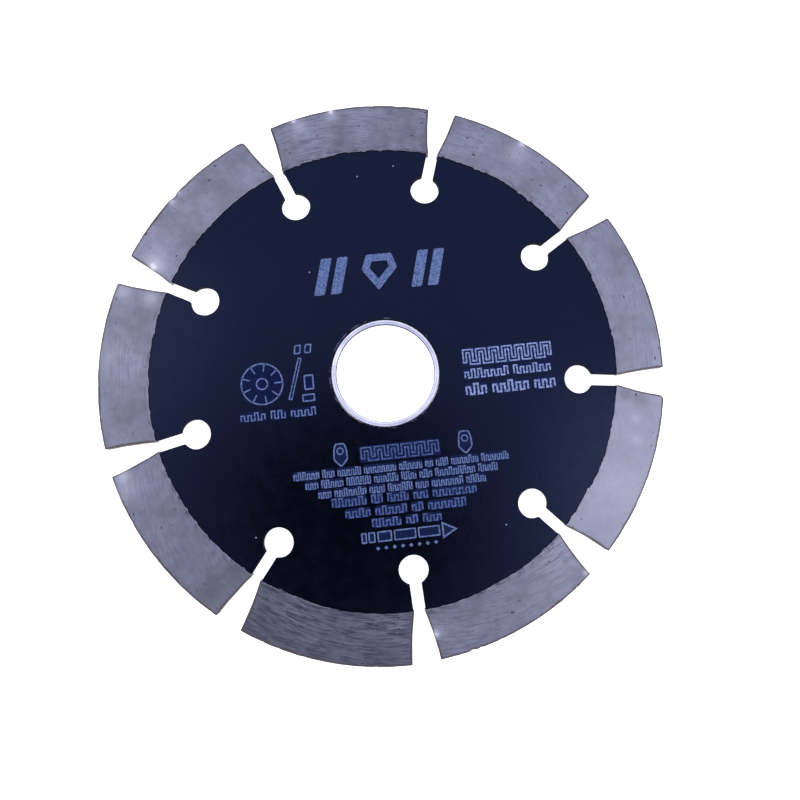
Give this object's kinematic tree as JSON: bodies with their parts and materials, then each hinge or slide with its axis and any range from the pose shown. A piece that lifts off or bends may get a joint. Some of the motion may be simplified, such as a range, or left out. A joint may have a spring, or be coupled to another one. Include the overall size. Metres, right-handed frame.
{
  "type": "diamond blade",
  "caption": "Thin segmented saw disc for dry cutting masonry: a dark steel core with keyhole cooling slots, grey sintered rim segments and a removable reducing bush in its bore.",
  "frame": {"origin": "on the spin axis at the centre of the bore, half way through the blade's thickness", "axes": "+Z is the spin axis and leaves the printed face. One cooling slot's centre line lies on +X."},
  "size_m": [0.1149, 0.115, 0.0022],
  "materials": {
    "core_lacquer": "satin blue-black lacquer on sheet steel",
    "sintered_segment": "ground sintered metal matrix holding diamond grit",
    "bush_steel": "bright turned steel"
  },
  "bodies": {
    "blade": {"core": "core_lacquer", "segment_1": "sintered_segment", "segment_2": "sintered_segment", "segment_3": "sintered_segment", "segment_4": "sintered_segment", "segment_5": "sintered_segment", "segment_6": "sintered_segment", "segment_7": "sintered_segment", "segment_8": "sintered_segment", "segment_9": "sintered_segment"},
    "bush": {"bush": "bush_steel"}
  },
  "joints": [
    {"name": "bush_push_out", "type": "slide", "parent": "blade", "child": "bush", "axis": [0, 0, 1], "range_m": [0, 0.008]}
  ]
}
